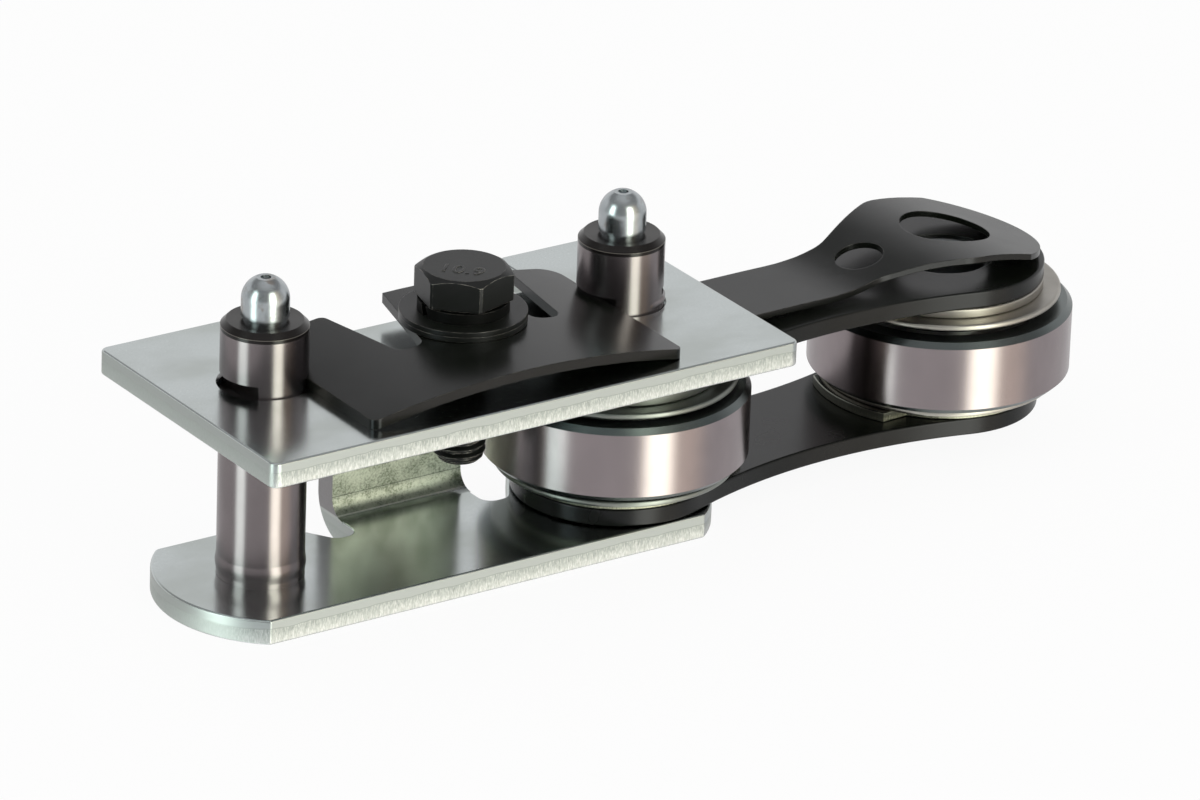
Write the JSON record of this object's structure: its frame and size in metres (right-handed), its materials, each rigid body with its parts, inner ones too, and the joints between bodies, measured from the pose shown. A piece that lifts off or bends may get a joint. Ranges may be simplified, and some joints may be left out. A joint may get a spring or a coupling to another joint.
{
  "type": "roller chain link section",
  "caption": "Section of conveyor chain: removable outer link with sprung locking plate and greased pins, hinged to an inner link that runs on ball-bearing rollers.",
  "frame": {"origin": "midway between the two pins of the outer link, on the underside of its bottom plate", "axes": "+X along the chain towards the roller link, +Y towards the upright tab, +Z along the pins towards the grease nipples"},
  "size_m": [0.2059, 0.0639, 0.0664],
  "materials": {
    "zinc_plate": "zinc plated, semi-gloss",
    "ground_pin": "ground and hardened",
    "bright_nipple": "bright plated",
    "bearing_steel": "polished",
    "spring_wire": "drawn",
    "black_fastener": "black oxide",
    "blackened_plate": "black oxide",
    "bushing_steel": "turned",
    "cage_sheet": "pressed",
    "shield_sheet": "satin",
    "spacer_steel": "sheared, zinc plated"
  },
  "bodies": {
    "outer_link": {"bottom_link_plate": "zinc_plate", "top_link_plate": "zinc_plate", "left_pin": "ground_pin", "middle_pin": "ground_pin", "left_grease_nipple": "bright_nipple", "middle_grease_nipple": "bright_nipple", "left_nipple_spring": "spring_wire", "middle_nipple_spring": "spring_wire", "locking_spring_plate": "blackened_plate", "hex_bolt": "black_fastener", "lower_washer": "black_fastener", "upper_washer": "black_fastener", "spring_washer": "black_fastener", "lock_nut": "black_fastener"},
    "inner_link": {"lower_link_plate": "blackened_plate", "upper_link_plate": "blackened_plate", "leaf_spring": "blackened_plate", "middle_bushing": "bushing_steel", "middle_inner_ring": "bearing_steel", "middle_lower_shield": "shield_sheet", "middle_lower_spacer": "spacer_steel", "middle_upper_shield": "shield_sheet", "middle_upper_spacer": "spacer_steel", "end_bushing": "bushing_steel", "end_inner_ring": "bearing_steel", "end_lower_shield": "shield_sheet", "end_lower_spacer": "spacer_steel", "end_upper_shield": "shield_sheet", "end_upper_spacer": "spacer_steel"},
    "middle_roller": {"middle_outer_ring": "bearing_steel"},
    "end_roller": {"end_outer_ring": "bearing_steel"},
    "middle_ball_train": {"middle_ball_set": "bearing_steel", "middle_ball_cage": "cage_sheet"},
    "end_ball_train": {"end_ball_set": "bearing_steel", "end_ball_cage": "cage_sheet"},
    "left_nipple_valve": {"left_check_ball": "bearing_steel"},
    "middle_nipple_valve": {"middle_check_ball": "bearing_steel"}
  },
  "joints": [
    {"name": "inner_link_swing", "type": "hinge", "parent": "outer_link", "child": "inner_link", "pos_m": [0.04, 0, 0.0205], "axis": [0, 0, 1], "range_deg": [-48, 42]},
    {"name": "middle_roller_spin", "type": "hinge", "parent": "inner_link", "child": "middle_roller", "pos_m": [0.04, 0, 0.0205], "axis": [0, 0, 1], "continuous": true},
    {"name": "end_roller_spin", "type": "hinge", "parent": "inner_link", "child": "end_roller", "pos_m": [0.11989, 0.00419, 0.0198], "axis": [0, 0, 1], "continuous": true},
    {"name": "middle_balls_orbit", "type": "hinge", "parent": "inner_link", "child": "middle_ball_train", "pos_m": [0.04, 0, 0.0205], "axis": [0, 0, 1], "continuous": true},
    {"name": "end_balls_orbit", "type": "hinge", "parent": "inner_link", "child": "end_ball_train", "pos_m": [0.11989, 0.00419, 0.0198], "axis": [0, 0, 1], "continuous": true},
    {"name": "left_valve_stroke", "type": "slide", "parent": "outer_link", "child": "left_nipple_valve", "axis": [0, 0, -1], "range_m": [0, 0.0012], "stiffness_N_per_m": 400, "springref_m": -0.002, "deforming": ["left_nipple_spring"]},
    {"name": "middle_valve_stroke", "type": "slide", "parent": "outer_link", "child": "middle_nipple_valve", "axis": [0, 0, -1], "range_m": [0, 0.0012], "stiffness_N_per_m": 400, "springref_m": -0.002, "deforming": ["middle_nipple_spring"]}
  ],
  "couplings": [
    {"joint": "middle_balls_orbit", "follows": "middle_roller_spin", "ratio": 0.63239},
    {"joint": "end_balls_orbit", "follows": "end_roller_spin", "ratio": 0.63239}
  ]
}
